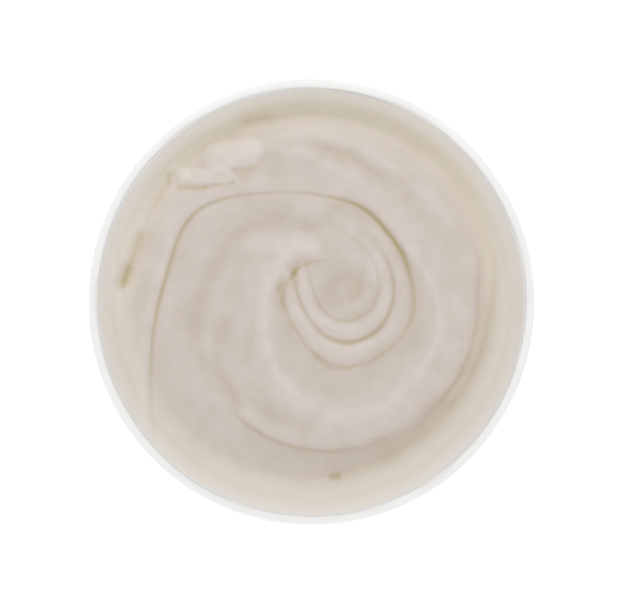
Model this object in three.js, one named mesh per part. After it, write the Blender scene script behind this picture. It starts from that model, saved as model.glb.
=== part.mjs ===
// A round white plastic tub, filled close to its rim with garlic paste that was stirred in a spiral.
// Millimetres, +Z up, with the origin at the middle of the base.
import * as THREE from 'three';

// The tub: a moulded cup with a bead round its rim
const RIM_DIAMETER = 117;
const TUB_HEIGHT = 50;
const RIM_WIDTH = 2.4;
const RIM_DROP = 4.2;
const RIM_ROUNDING = 0.7;
const WALL_THICKNESS = 1.1;
const WALL_SLOPE_DEGREES = 6.5;
const BAND_DROP = 9.5;
const BAND_PROUD = 0.5;
const BASE_THICKNESS = 1.2;
const FOOT_HEIGHT = 1.5;
const FOOT_WIDTH = 4.5;
const OUTER_CORNER = 2.4;
const INNER_CORNER = 3.2;
const GATE_RADIUS = 1.6;
const GATE_DROP = 0.5;
const TUB_SEGMENTS = 72;
const CORNER_STEPS = 3;

// The paste: its level, its meeting with the wall and the fineness of its surface
const PASTE_LEVEL = 38.4;
const PASTE_CLEARANCE = 0.3;
const SWIRL_CENTRE = [8.8, 3.1];
const BOWL_DEPTH = 2.2;
const BOWL_INNER = 1.6;
const BOWL_OUTER = 11.0;
const WALL_RISE = 4.5;
const WALL_RISE_START = 46.0;
const WALL_RISE_REACH = 9.5;
const WALL_RISE_POWER = 1.8;
const PASTE_SPOKES = 96;
const PASTE_RINGS = 44;
const RING_CROWDING = 2.6;
const RING_CROWD_WIDTH = 1.5;
const SPOKE_SAMPLES = 400;
const LINE_MARGIN = 1.0;
const LINE_STRENGTH = 0.1;

const TUB_CENTRE = [0, 0];
const NUDGE = 0.001;
const RIM_RADIUS = RIM_DIAMETER / 2;
const MOUTH_RADIUS = RIM_RADIUS - RIM_WIDTH;
const WALL_LEAN = Math.tan(THREE.MathUtils.degToRad(WALL_SLOPE_DEGREES));
const WALL_STRETCH = 1 / Math.cos(THREE.MathUtils.degToRad(WALL_SLOPE_DEGREES));
const FLOOR_HEIGHT = FOOT_HEIGHT + BASE_THICKNESS;

// Folds of the paste. Each follows a path round its centre: the edge is that path's radius every step degrees,
// from start. Inside the edge is its face, going down to a groove at the foot; outside it the back sinks away.
// A list is spread evenly along the fold.
const FOLDS = [
  {
    name: 'long lap, from the hook in the middle round one and a quarter turns to the wall',
    centre: SWIRL_CENTRE, start: 112, step: 25, fade: [16, 30], grooveWidth: 0.8,
    edge: [11.9, 15.2, 17.7, 21, 24.2, 28.7, 32.4, 32.1, 29.1, 26.8,
      23, 20, 20.6, 23.7, 26.9, 33.9, 46, 49.2, 57, 70],
    height: [0.7, 1.7, 2.5, 2.6, 2.5, 2.6, 2.8, 2.9, 2.8, 2.6, 2.5, 2.4, 2, 1.4, 0.7, 0.6, 1, 1, 0.8, 0.8],
    face: [3, 3.6, 3.2, 4.2, 7.6, 10.5, 11.1, 13.3, 11.4, 7.5,
      5, 2, 1.5, 1.3, 1.1, 1.1, 1.4, 1.3, 1.3, 1.3],
    back: [4.2, 6.4, 9, 11, 11, 10.5, 10.5, 10, 9.4, 9.4,
      11.5, 15.7, 17.3, 15.7, 13, 10.5, 9, 6.3, 3.6, 2.6],
    facePower: [0.8, 0.8, 1.4, 1.6, 1.6, 1.2, 0.8, 0.8, 0.8, 0.8],
    backPower: [1.3, 1.3, 1.2, 1.4, 1.6],
    tail: [1, 1.3, 1.2, 1, 1.5, 2, 2, 2],
    groove: [0.1, 0.2, 0.4, 0.3, 0.1, 0.2, 0.3, 0.2, 0.1, 0.1,
      0.3, 0.6, 0.8, 0.7, 0.2, 0.1, 0.5, 0.6, 0.4, 0.3],
  },
  {
    name: 'outer curl of the nest',
    centre: SWIRL_CENTRE, start: 155, step: 30, fade: [8, 40], grooveWidth: 0.7,
    edge: [16.2, 13.9, 13.3, 14.4, 15.4, 15.2, 14.7, 14.7, 15.4, 17.5, 20.9],
    height: [0.5, 0.8, 0.9, 1.2, 1.5, 1.4, 1.1, 0.9, 0.6, 0.4, 0.2],
    face: [1.2, 1.5, 1.6, 1.8, 2.2],
    back: [1.2, 2.9, 3.3, 4.2, 4.9, 4.2, 4.6, 3.2, 2.4, 2.4, 2.8],
    facePower: [1],
    backPower: [2.4, 2.8, 2.4, 1.6],
    tail: [1],
    groove: [0.15, 0.2, 0.25, 0.3, 0.2, 0.05],
  },
  {
    name: 'inner curl of the nest',
    centre: SWIRL_CENTRE, start: 145, step: 30, fade: [8, 40], grooveWidth: 0.7,
    edge: [13.1, 10.2, 9.3, 9.4, 9.7, 9.9, 10.2, 10.6, 11.3, 13.1, 16.5, 21.5],
    height: [0.5, 0.8, 0.9, 1, 1.1, 1, 0.8, 0.7, 0.5, 0.4, 0.3, 0.2],
    face: [1.3, 1.6, 1.8, 2],
    back: [1.6, 2.6, 2.9, 3.7, 4.4, 4.1, 3.4, 2.6, 2.1, 2.4, 2.6, 2.6],
    facePower: [1],
    backPower: [2, 2.2, 1.8, 1.5],
    tail: [1],
    groove: [0.15, 0.15, 0.2, 0.1, 0.05],
  },
  {
    name: 'heart of the nest',
    centre: SWIRL_CENTRE, start: 240, step: 30, fade: [40, 40], grooveWidth: 0.5,
    edge: [3.7, 3.4, 3.9, 4.7, 5.8, 7.3, 9.4],
    height: [0.4, 0.7, 0.8, 0.8, 0.6, 0.3],
    face: [1.8, 2.3],
    back: [3.1],
    facePower: [1.3],
    backPower: [1.6],
    tail: [1.5],
    groove: [0],
  },
  {
    name: 'edge of the layer below the lap',
    centre: SWIRL_CENTRE, start: 226, step: 23, fade: [8, 24], grooveWidth: 0.5,
    edge: [42.5, 42.5, 40.8, 38, 36.8, 35.2],
    height: [1.2, 1.2, 0.7, 0.3, 0.5, 0.4],
    face: [5, 6],
    back: [1.3, 1.6],
    facePower: [1.4],
    backPower: [1.1],
    tail: [1],
    groove: [0],
  },
  {
    name: 'inner terrace at the right',
    centre: SWIRL_CENTRE, start: -62, step: 15, fade: [20, 24], grooveWidth: 0.5,
    edge: [39, 37.3, 36.1, 34.7, 34, 35, 35.9],
    height: [0.5, 0.7, 0.7],
    face: [6],
    back: [1.6],
    facePower: [1],
    backPower: [1.5],
    tail: [1.4],
    groove: [0],
  },
  {
    name: 'outer terrace at the right',
    centre: SWIRL_CENTRE, start: -55, step: 14, fade: [20, 24], grooveWidth: 0.5,
    edge: [40.6, 39.6, 38.4, 37.6, 38, 38.9, 39.7],
    height: [0.4, 0.6, 0.5],
    face: [3],
    back: [1.8],
    facePower: [1],
    backPower: [1.5],
    tail: [1.4],
    groove: [0],
  },
  {
    name: 'ribbon along the top and right',
    centre: SWIRL_CENTRE, start: 12, step: 18, fade: [24, 16], grooveWidth: 0.5,
    edge: [35.1, 33.5, 32.4, 34, 37.4, 42, 46.1],
    height: [0.7, 1, 1.2, 1.3, 1.3, 1.2, 1],
    face: [6, 5.2, 4.4, 3.8, 3.4, 3, 2.8],
    back: [8, 9, 9, 8, 7, 6, 5],
    facePower: [1.3],
    backPower: [1.5],
    tail: [1.6],
    groove: [0],
  },
  {
    name: 'inner ribbon at the top',
    centre: SWIRL_CENTRE, start: 66, step: 15, fade: [18, 16], grooveWidth: 0.5,
    edge: [26.2, 28.5, 32.5, 39.3, 44, 47.1],
    height: [0.5, 0.9, 1.2, 1.2, 1, 0.6],
    face: [3.6, 4.8, 6, 6.8, 6.4, 6.4],
    back: [4.6, 5.2, 5.8, 6, 5.6, 5],
    facePower: [1.3],
    backPower: [1.5],
    tail: [1.6],
    groove: [0],
  },
];

// Troughs of the paste: soft valleys along a path, with no ridge of their own.
const TROUGHS = [
  {
    name: 'trough along the wall',
    centre: TUB_CENTRE, start: -110, step: 30, fade: [30, 20], width: 2.9,
    path: [46.6, 46.6, 46, 46.8, 48.2, 50.3, 51, 50.6, 50.8, 49],
    depth: [0.6, 0.8, 0.8, 0.8, 0.8, 1.1, 1.2, 1.2, 0.9, 0.5],
  },
  {
    name: 'trough left of the lap',
    centre: SWIRL_CENTRE, start: 105, step: 24, fade: [16, 20], width: 2.8,
    path: [14.9, 24.1, 31.9, 36.6, 41.9, 42.1],
    depth: [0.3, 0.9, 1.1, 1, 0.9, 0.6],
  },
  {
    name: 'second trough left of the lap',
    centre: SWIRL_CENTRE, start: 184, step: 12, fade: [18, 8], width: 1.8,
    path: [27.8, 34, 38.3, 40.2, 43],
    depth: [0.3, 0.6, 0.7],
  },
  {
    name: 'short trough beside the hook',
    centre: SWIRL_CENTRE, start: 190, step: 10, fade: [12, 12], width: 1.9,
    path: [23.6, 26.2, 29.3, 31.8],
    depth: [0.45],
  },
];

// Marks on the paste: rounded ridges where height is positive, dents where it is negative.
const MARKS = [
  {
    name: 'swelling over the hook',
    from: [-15.5, 15.4], to: [0.6, 15.8], reach: 4.6, height: 0.45, power: 2,
  },
  {
    name: 'long dent at the left',
    from: [-45.4, 17.4], to: [-49.6, 5.6], reach: 3.6, height: -1.3, power: 1.2,
  },
  {
    name: 'deep end of the dent',
    from: [-48.8, 9], to: [-50.2, 4.4], reach: 3, height: -1.1, power: 1.2,
  },
  {
    name: 'crease down to the dent',
    from: [-38.6, 30.4], to: [-43.6, 22.4], reach: 2, height: -0.3, power: 1.2,
  },
  {
    name: 'upper lobe of the patch',
    from: [-24.8, 38.4], to: [-16.6, 40.2], reach: 4.5, height: 0.8, power: 5,
  },
  {
    name: 'tongue of the patch',
    from: [-36.2, 36], to: [-33.2, 33.8], reach: 1.8, height: 0.6, power: 3,
  },
  {
    name: 'lower shelf of the patch',
    from: [-33.4, 33.7], to: [-22.8, 33.4], reach: 2.6, height: 0.6, power: 4,
  },
  {
    name: 'streak across the patch',
    from: [-24, 36.1], to: [-20, 33], reach: 0.9, height: 0.4, power: 2,
  },
  {
    name: 'groove below the patch, left',
    from: [-35, 30.4], to: [-28.4, 30.3], reach: 1.2, height: -0.5, power: 2,
  },
  {
    name: 'groove below the patch, right',
    from: [-28.4, 30.5], to: [-20.8, 31.8], reach: 0.9, height: -0.3, power: 2,
  },
  {
    name: 'notch left of the patch',
    from: [-38, 34], to: [-37.8, 31.4], reach: 1.2, height: -0.6, power: 2,
  },
  {
    name: 'nick beside the patch',
    from: [-18, 33.2], to: [-15.8, 34.8], reach: 2, height: -0.25, power: 2,
  },
  {
    name: 'ridge near the wall',
    from: [-27.2, 46.6], to: [-22.4, 47.4], reach: 2.4, height: 0.5, power: 1.4,
  },
  {
    name: 'deep place in the wall trough',
    from: [-17.4, 48.2], to: [-12, 49.2], reach: 4, height: -0.7, power: 1.2,
  },
  {
    name: 'inner hollow under the hook',
    from: [-3.8, 9.9], to: [-4.8, 8.2], reach: 1.7, height: -0.4, power: 2,
  },
  {
    name: 'outer hollow under the hook',
    from: [-7.6, 5.3], to: [-8.9, 3.4], reach: 1.8, height: -0.5, power: 2,
  },
  {
    name: 'pit near the wall',
    from: [5.7, -46.6], to: [6.8, -46.4], reach: 1.6, height: -0.8, power: 2,
  },
];

function clamp01(t) {
  return Math.min(Math.max(t, 0), 1);
}

function smoothStep(t) {
  const c = clamp01(t);
  return c * c * (3 - 2 * c);
}

// Smooth curve through evenly spaced values, at t from 0 to 1
function spread(values, t) {
  const last = values.length - 1;
  if (last === 0) return values[0];
  const place = clamp01(t) * last;
  const i = Math.min(Math.floor(place), last - 1);
  const f = place - i;
  const b = values[i];
  const c = values[i + 1];
  const a = i > 0 ? values[i - 1] : 2 * b - c;
  const d = i + 2 <= last ? values[i + 2] : 2 * c - b;
  const bend = (2 * a - 5 * b + 4 * c - d) * f * f;
  const twist = (3 * b - a - 3 * c + d) * f * f * f;
  return 0.5 * (2 * b + (c - a) * f + bend + twist);
}

// Every turn of a path that passes the angle of a point: the place along it, and the distance out from it
function crossings(path, radii, x, y) {
  const dx = x - path.centre[0];
  const dy = y - path.centre[1];
  const angle = THREE.MathUtils.radToDeg(Math.atan2(dy, dx));
  const sweep = path.step * (radii.length - 1);
  const found = [];
  for (let turn = -1; turn <= 2; turn += 1) {
    const along = angle + 360 * turn - path.start;
    if (along < 0 || along > sweep) continue;
    const t = along / sweep;
    const radius = spread(radii, t);
    const rise = spread(radii, t + NUDGE) - spread(radii, t - NUDGE);
    const slope = rise / (2 * NUDGE * THREE.MathUtils.degToRad(sweep));
    const slant = Math.hypot(1, slope / Math.max(radius, 1));
    const ends = smoothStep(along / path.fade[0]) * smoothStep((sweep - along) / path.fade[1]);
    found.push({ t, radius, slant, ends, out: (Math.hypot(dx, dy) - radius) / slant });
  }
  return found;
}

function foldHeight(fold, x, y) {
  let total = 0;
  for (const { t, out, ends } of crossings(fold, fold.edge, x, y)) {
    const face = Math.max(spread(fold.face, t), 0.05);
    const back = Math.max(spread(fold.back, t), 0.05);
    const up = clamp01(1 + out / face) ** spread(fold.facePower, t);
    const down = (1 - clamp01(out / back) ** spread(fold.backPower, t)) ** spread(fold.tail, t);
    const crest = (out < 0 ? up : down) * spread(fold.height, t);
    const groove = spread(fold.groove, t) * Math.exp(-(((out + face) / fold.grooveWidth) ** 2));
    total += (crest - groove) * ends;
  }
  return total;
}

function troughHeight(trough, x, y) {
  let total = 0;
  for (const { t, out, ends } of crossings(trough, trough.path, x, y)) {
    total -= spread(trough.depth, t) * Math.exp(-((out / trough.width) ** 2)) * ends;
  }
  return total;
}

function markHeight(mark, x, y) {
  const dx = mark.to[0] - mark.from[0];
  const dy = mark.to[1] - mark.from[1];
  const along = clamp01(((x - mark.from[0]) * dx + (y - mark.from[1]) * dy) / (dx * dx + dy * dy));
  const away = Math.hypot(x - mark.from[0] - along * dx, y - mark.from[1] - along * dy);
  return mark.height * (1 - clamp01(away / mark.reach) ** mark.power) ** 2;
}

// Height of the paste's surface above the base
function pasteHeight(x, y) {
  const fromSwirl = Math.hypot(x - SWIRL_CENTRE[0], y - SWIRL_CENTRE[1]);
  const fromAxis = Math.hypot(x, y);
  const bowl = BOWL_DEPTH * smoothStep((fromSwirl - BOWL_INNER) / (BOWL_OUTER - BOWL_INNER));
  const rise = WALL_RISE * clamp01((fromAxis - WALL_RISE_START) / WALL_RISE_REACH) ** WALL_RISE_POWER;
  let height = PASTE_LEVEL + bowl + rise;
  for (const fold of FOLDS) height += foldHeight(fold, x, y);
  for (const trough of TROUGHS) height += troughHeight(trough, x, y);
  for (const mark of MARKS) height += markHeight(mark, x, y);
  return height;
}

// Radius of the wall's inside at a height
function wallInside(z) {
  return MOUTH_RADIUS - (TUB_HEIGHT - z) * WALL_LEAN;
}

// Points of a round corner, from one angle to another
function corner(centreRadius, centreHeight, radius, fromDegrees, toDegrees) {
  const points = [];
  for (let i = 0; i <= CORNER_STEPS; i += 1) {
    const angle = THREE.MathUtils.degToRad(fromDegrees + ((toDegrees - fromDegrees) * i) / CORNER_STEPS);
    const r = centreRadius + radius * Math.cos(angle);
    points.push(new THREE.Vector2(r, centreHeight + radius * Math.sin(angle)));
  }
  return points;
}

// The tub turned about its axis, from the middle of the underside out, up, over the rim and back to the middle
function tubGeometry() {
  const lean = WALL_SLOPE_DEGREES;
  const wallOutside = (z) => wallInside(z) + WALL_THICKNESS;
  const footOuter = wallOutside(OUTER_CORNER) - OUTER_CORNER * WALL_STRETCH;
  const footInner = footOuter - FOOT_WIDTH;
  const bandBottom = TUB_HEIGHT - BAND_DROP;
  const rimBottom = TUB_HEIGHT - RIM_DROP;
  const lipHeight = TUB_HEIGHT - RIM_ROUNDING;
  const lipCentre = wallInside(lipHeight) + RIM_ROUNDING * WALL_STRETCH;
  const cornerHeight = FLOOR_HEIGHT + INNER_CORNER;
  const cornerCentre = wallInside(cornerHeight) - INNER_CORNER * WALL_STRETCH;
  const point = (r, z) => new THREE.Vector2(r, z);
  const profile = [
    point(0, FOOT_HEIGHT - GATE_DROP),
    point(GATE_RADIUS, FOOT_HEIGHT - GATE_DROP),
    point(GATE_RADIUS * 1.25, FOOT_HEIGHT),
    point(footInner - FOOT_HEIGHT, FOOT_HEIGHT),
    point(footInner, 0),
    ...corner(footOuter, OUTER_CORNER, OUTER_CORNER, -90, -lean),
    point(wallOutside(bandBottom - BAND_PROUD), bandBottom - BAND_PROUD),
    point(wallOutside(bandBottom) + BAND_PROUD, bandBottom),
    point(wallOutside(rimBottom) + BAND_PROUD, rimBottom),
    ...corner(RIM_RADIUS - RIM_ROUNDING / 2, rimBottom + RIM_ROUNDING / 2, RIM_ROUNDING / 2, -90, 0),
    ...corner(RIM_RADIUS - RIM_ROUNDING, lipHeight, RIM_ROUNDING, 0, 90),
    ...corner(lipCentre, lipHeight, RIM_ROUNDING, 90, 180 - lean),
    ...corner(cornerCentre, cornerHeight, INNER_CORNER, -lean, -90),
    point(0, FLOOR_HEIGHT),
  ];
  const tub = new THREE.LatheGeometry(profile, TUB_SEGMENTS);
  tub.rotateX(Math.PI / 2);
  return tub;
}

// Distance from the swirl's centre to a circle round the tub's axis, along a direction
function reachToCircle(radius, directionX, directionY) {
  const along = SWIRL_CENTRE[0] * directionX + SWIRL_CENTRE[1] * directionY;
  const apart = SWIRL_CENTRE[0] ** 2 + SWIRL_CENTRE[1] ** 2 - radius * radius;
  return -along + Math.sqrt(along * along - apart);
}

// Distances along a spoke at which it crosses the folds' edges and the feet of their faces
function foldLines(directionX, directionY, reach) {
  const lines = [];
  const x = SWIRL_CENTRE[0] + directionX;
  const y = SWIRL_CENTRE[1] + directionY;
  for (const fold of FOLDS) {
    for (const { t, radius, slant, ends } of crossings(fold, fold.edge, x, y)) {
      const strength = ends * clamp01(spread(fold.height, t));
      for (const at of [radius, radius - spread(fold.face, t) * slant]) {
        if (at > LINE_MARGIN && at < reach - LINE_MARGIN) lines.push({ at, strength });
      }
    }
  }
  return lines;
}

// Where the rings cross a spoke: on the folds' lines, close together beside them and wide apart between them
function ringReaches(directionX, directionY, reach) {
  const lines = foldLines(directionX, directionY, reach);
  const gathered = [0];
  for (let i = 1; i <= SPOKE_SAMPLES; i += 1) {
    const r = (reach * (i - 0.5)) / SPOKE_SAMPLES;
    let weight = 1;
    for (const { at, strength } of lines) {
      weight += RING_CROWDING * strength * Math.exp(-(((r - at) / RING_CROWD_WIDTH) ** 2));
    }
    gathered.push(gathered[i - 1] + weight);
  }
  const reaches = [];
  let at = 0;
  for (let ring = 1; ring <= PASTE_RINGS; ring += 1) {
    const wanted = (gathered[SPOKE_SAMPLES] * ring) / PASTE_RINGS;
    while (at < SPOKE_SAMPLES - 1 && gathered[at + 1] < wanted) at += 1;
    const part = (wanted - gathered[at]) / (gathered[at + 1] - gathered[at]);
    reaches.push((reach * (at + Math.min(part, 1))) / SPOKE_SAMPLES);
  }
  for (const line of lines) {
    if (line.strength < LINE_STRENGTH) continue;
    let nearest = 0;
    for (let i = 1; i < reaches.length - 1; i += 1) {
      if (Math.abs(reaches[i] - line.at) < Math.abs(reaches[nearest] - line.at)) nearest = i;
    }
    reaches[nearest] = line.at;
  }
  return reaches;
}

// The paste: a relief of spokes and rings on top, a tapered side just clear of the wall and a flat bottom
function pasteGeometry() {
  const positions = [SWIRL_CENTRE[0], SWIRL_CENTRE[1], pasteHeight(...SWIRL_CENTRE)];
  const bottom = FLOOR_HEIGHT + PASTE_CLEARANCE;
  const cornerTop = FLOOR_HEIGHT + INNER_CORNER;
  const sideRadii = [
    [wallInside(cornerTop) - PASTE_CLEARANCE, cornerTop],
    [wallInside(cornerTop) - PASTE_CLEARANCE - INNER_CORNER, bottom],
  ];
  const levels = PASTE_RINGS + sideRadii.length;
  for (let s = 0; s < PASTE_SPOKES; s += 1) {
    const angle = (2 * Math.PI * s) / PASTE_SPOKES;
    const directionX = Math.cos(angle);
    const directionY = Math.sin(angle);
    const firstReach = reachToCircle(wallInside(PASTE_LEVEL) - PASTE_CLEARANCE, directionX, directionY);
    const edgeX = SWIRL_CENTRE[0] + firstReach * directionX;
    const edgeY = SWIRL_CENTRE[1] + firstReach * directionY;
    const edgeRadius = wallInside(pasteHeight(edgeX, edgeY)) - PASTE_CLEARANCE;
    const reach = reachToCircle(edgeRadius, directionX, directionY);
    for (const r of ringReaches(directionX, directionY, reach)) {
      const x = SWIRL_CENTRE[0] + r * directionX;
      const y = SWIRL_CENTRE[1] + r * directionY;
      positions.push(x, y, pasteHeight(x, y));
    }
    const turn = Math.atan2(edgeY, edgeX);
    for (const [radius, z] of sideRadii) positions.push(radius * Math.cos(turn), radius * Math.sin(turn), z);
  }
  const underside = positions.length / 3;
  positions.push(0, 0, bottom);
  const vertex = (spoke, level) => 1 + (spoke % PASTE_SPOKES) * levels + level;
  const faces = [];
  for (let s = 0; s < PASTE_SPOKES; s += 1) {
    faces.push(0, vertex(s, 0), vertex(s + 1, 0));
    for (let level = 0; level < levels - 1; level += 1) {
      const inner = vertex(s, level);
      const outer = vertex(s, level + 1);
      const nextInner = vertex(s + 1, level);
      const nextOuter = vertex(s + 1, level + 1);
      const height = (index) => positions[3 * index + 2];
      const flatter = Math.abs(height(inner) - height(nextOuter)) < Math.abs(height(outer) - height(nextInner));
      if (flatter) faces.push(inner, outer, nextOuter, inner, nextOuter, nextInner);
      else faces.push(inner, outer, nextInner, outer, nextOuter, nextInner);
    }
    faces.push(vertex(s, levels - 1), underside, vertex(s + 1, levels - 1));
  }
  const paste = new THREE.BufferGeometry();
  paste.setAttribute('position', new THREE.Float32BufferAttribute(positions, 3));
  paste.setIndex(faces);
  paste.computeVertexNormals();
  return paste;
}

const tub = new THREE.Mesh(
  tubGeometry(),
  new THREE.MeshStandardMaterial({ color: 0xf6f5f3, roughness: 0.35, metalness: 0 }),
);
tub.name = 'tub';

const paste = new THREE.Mesh(
  pasteGeometry(),
  new THREE.MeshStandardMaterial({ color: 0xdcd2c4, roughness: 0.5, metalness: 0 }),
);
paste.name = 'paste';

const pasteTub = new THREE.Group();
pasteTub.add(tub, paste);

export default pasteTub;
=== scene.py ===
"""Blender scene of a round white tub of garlic paste, stirred into a spiral and seen from straight above.

The tub is polypropylene, injection moulded, with a bead round its mouth. The paste fills it close to the rim,
climbs the wall and carries the folds that a spoon left in it. Both are rebuilt here finer than
their solids, from the same named sizes in millimetres. Blender's own unit stays the metre.
"""

from __future__ import annotations

import logging
import math
from dataclasses import dataclass, field
from enum import Enum

import bpy
import numpy as np
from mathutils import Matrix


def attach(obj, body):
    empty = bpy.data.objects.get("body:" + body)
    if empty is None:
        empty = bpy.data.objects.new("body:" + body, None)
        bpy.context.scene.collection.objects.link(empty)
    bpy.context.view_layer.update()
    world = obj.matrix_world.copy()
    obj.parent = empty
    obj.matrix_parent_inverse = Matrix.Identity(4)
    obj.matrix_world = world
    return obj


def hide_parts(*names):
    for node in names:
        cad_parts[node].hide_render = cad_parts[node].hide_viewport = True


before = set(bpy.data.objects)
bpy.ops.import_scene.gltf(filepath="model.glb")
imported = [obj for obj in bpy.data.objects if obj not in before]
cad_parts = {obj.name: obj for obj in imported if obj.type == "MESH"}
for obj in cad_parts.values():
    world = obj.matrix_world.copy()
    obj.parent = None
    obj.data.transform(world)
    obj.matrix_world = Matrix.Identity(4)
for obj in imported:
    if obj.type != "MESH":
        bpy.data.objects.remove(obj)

MM = 0.001
MERGE_WITHIN = 0.002  # millimetres within which a turned piece's points are joined
SHARP_EDGE = 35  # degrees past which a turned piece's edge is drawn sharp
log = logging.getLogger("paste_tub")

Point = tuple[float, float]
Colour = tuple[float, float, float, float]


class Slot(str, Enum):
    """The record's material slots."""

    PLASTIC = "white_plastic"
    PASTE = "garlic_paste"


def srgb(code: str) -> Colour:
    """Turns an sRGB hex value into the linear colour that a shader takes.

    Args:
        code: Six hex digits, with or without a leading hash.

    Returns:
        Linear red, green and blue, and an alpha of one.
    """
    digits = code.lstrip("#")
    channels = [int(digits[i : i + 2], 16) / 255 for i in (0, 2, 4)]
    linear = [c / 12.92 if c <= 0.04045 else ((c + 0.055) / 1.055) ** 2.4 for c in channels]
    return (linear[0], linear[1], linear[2], 1.0)


def add_node(
    tree: bpy.types.NodeTree, kind: str, inputs: dict | None = None, **settings: object
) -> bpy.types.Node:
    """Adds a node with its settings, values and links.

    Args:
        tree: The node tree that takes it.
        kind: The node's type name.
        inputs: What each input holds, by name or index: a value, or the output socket that feeds it.
        **settings: The node's own properties.

    Returns:
        The new node.
    """
    node = tree.nodes.new(kind)
    for name, value in settings.items():
        setattr(node, name, value)
    for key, value in (inputs or {}).items():
        if isinstance(value, bpy.types.NodeSocket):
            tree.links.new(value, node.inputs[key])
        else:
            node.inputs[key].default_value = value
    return node


def clamp01(values: np.ndarray) -> np.ndarray:
    """Holds values between zero and one."""
    return np.clip(values, 0.0, 1.0)


def smooth_step(values: np.ndarray) -> np.ndarray:
    """Eases from zero to one with level ends."""
    held = clamp01(values)
    return held * held * (3 - 2 * held)


def spread(values: tuple[float, ...], place: np.ndarray) -> np.ndarray:
    """Reads a smooth curve through evenly spaced values.

    Args:
        values: The values, from the curve's start to its end.
        place: Where to read, from zero to one.

    Returns:
        The curve's value at each place.
    """
    if len(values) == 1:
        return np.full_like(place, values[0], dtype=float)
    known = np.array(values, float)
    padded = np.concatenate([[2 * known[0] - known[1]], known, [2 * known[-1] - known[-2]]])
    steps = clamp01(place) * (len(known) - 1)
    i = np.minimum(steps.astype(int), len(known) - 2)
    f = steps - i
    a, b, c, d = padded[i], padded[i + 1], padded[i + 2], padded[i + 3]
    bend = (2 * a - 5 * b + 4 * c - d) * f**2
    twist = (3 * b - a - 3 * c + d) * f**3
    return 0.5 * (2 * b + (c - a) * f + bend + twist)


@dataclass(frozen=True)
class Crossing:
    """One turn of a path, as seen from a set of points.

    Attributes:
        mask: The points whose angle this turn passes.
        place: How far along the path each point is, from zero to one.
        ends: Fade at the path's two ends, from zero to one.
        out: Distance from the path, positive on its outer side.
    """

    mask: np.ndarray
    place: np.ndarray
    ends: np.ndarray
    out: np.ndarray


@dataclass(frozen=True)
class StirPath:
    """A path that a spoon left, as radii at even angles round a centre.

    Attributes:
        centre: Centre of the turning, in millimetres.
        start: Angle at which the path starts, in degrees.
        step: Degrees between two radii.
        radii: The radii in millimetres.
        fade: Degrees over which the path fades in and out.
    """

    centre: Point
    start: float
    step: float
    radii: tuple[float, ...]
    fade: Point

    NUDGE = 0.001

    def crossings(self, x: np.ndarray, y: np.ndarray) -> list[Crossing]:
        """Finds every turn of the path that passes each point's angle.

        Args:
            x: The points' first coordinate in millimetres.
            y: The points' second coordinate.

        Returns:
            One entry for each turn that any point sees.
        """
        dx, dy = x - self.centre[0], y - self.centre[1]
        distance = np.hypot(dx, dy)
        angle = np.degrees(np.arctan2(dy, dx))
        sweep = self.step * (len(self.radii) - 1)
        found = []
        for turn in range(-1, 3):
            along = angle + 360 * turn - self.start
            mask = (along >= 0) & (along <= sweep)
            if not mask.any():
                continue
            along = along[mask]
            place = along / sweep
            radius = spread(self.radii, place)
            rise = spread(self.radii, place + self.NUDGE) - spread(self.radii, place - self.NUDGE)
            slope = rise / (2 * self.NUDGE * math.radians(sweep))
            slant = np.hypot(1, slope / np.maximum(radius, 1))
            ends = smooth_step(along / self.fade[0]) * smooth_step((sweep - along) / self.fade[1])
            found.append(Crossing(mask, place, ends, (distance[mask] - radius) / slant))
        return found


@dataclass(frozen=True)
class Fold:
    """A lip of paste laid over what is inside it.

    Inside its edge a face goes down to a groove at the foot; outside it the back sinks away. Every tuple
    is spread evenly along the fold, in millimetres or as a plain power.
    """

    name: str
    path: StirPath
    height: tuple[float, ...]
    face: tuple[float, ...]
    back: tuple[float, ...]
    face_power: tuple[float, ...] = (1.0,)
    back_power: tuple[float, ...] = (1.5,)
    tail: tuple[float, ...] = (1.0,)
    groove: tuple[float, ...] = (0.0,)
    groove_width: float = 0.5

    SHORTEST = 0.05

    def heights(self, x: np.ndarray, y: np.ndarray) -> np.ndarray:
        """Works out the fold's relief.

        Args:
            x: The points' first coordinate in millimetres.
            y: The points' second coordinate.

        Returns:
            What the fold adds to the surface at each point, in millimetres.
        """
        total = np.zeros_like(x)
        for seen in self.path.crossings(x, y):
            face = np.maximum(spread(self.face, seen.place), self.SHORTEST)
            back = np.maximum(spread(self.back, seen.place), self.SHORTEST)
            up = clamp01(1 + seen.out / face) ** spread(self.face_power, seen.place)
            fallen = clamp01(seen.out / back) ** spread(self.back_power, seen.place)
            down = (1 - fallen) ** spread(self.tail, seen.place)
            crest = np.where(seen.out < 0, up, down) * spread(self.height, seen.place)
            dip = np.exp(-(((seen.out + face) / self.groove_width) ** 2))
            total[seen.mask] += (crest - spread(self.groove, seen.place) * dip) * seen.ends
        return total


@dataclass(frozen=True)
class Trough:
    """A soft valley along a path, with no ridge of its own."""

    name: str
    path: StirPath
    depth: tuple[float, ...]
    width: float

    def heights(self, x: np.ndarray, y: np.ndarray) -> np.ndarray:
        """Works out the trough's relief.

        Args:
            x: The points' first coordinate in millimetres.
            y: The points' second coordinate.

        Returns:
            What the trough takes from the surface at each point, as negative millimetres.
        """
        total = np.zeros_like(x)
        for seen in self.path.crossings(x, y):
            dip = np.exp(-((seen.out / self.width) ** 2))
            total[seen.mask] -= spread(self.depth, seen.place) * dip * seen.ends
        return total


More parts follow.
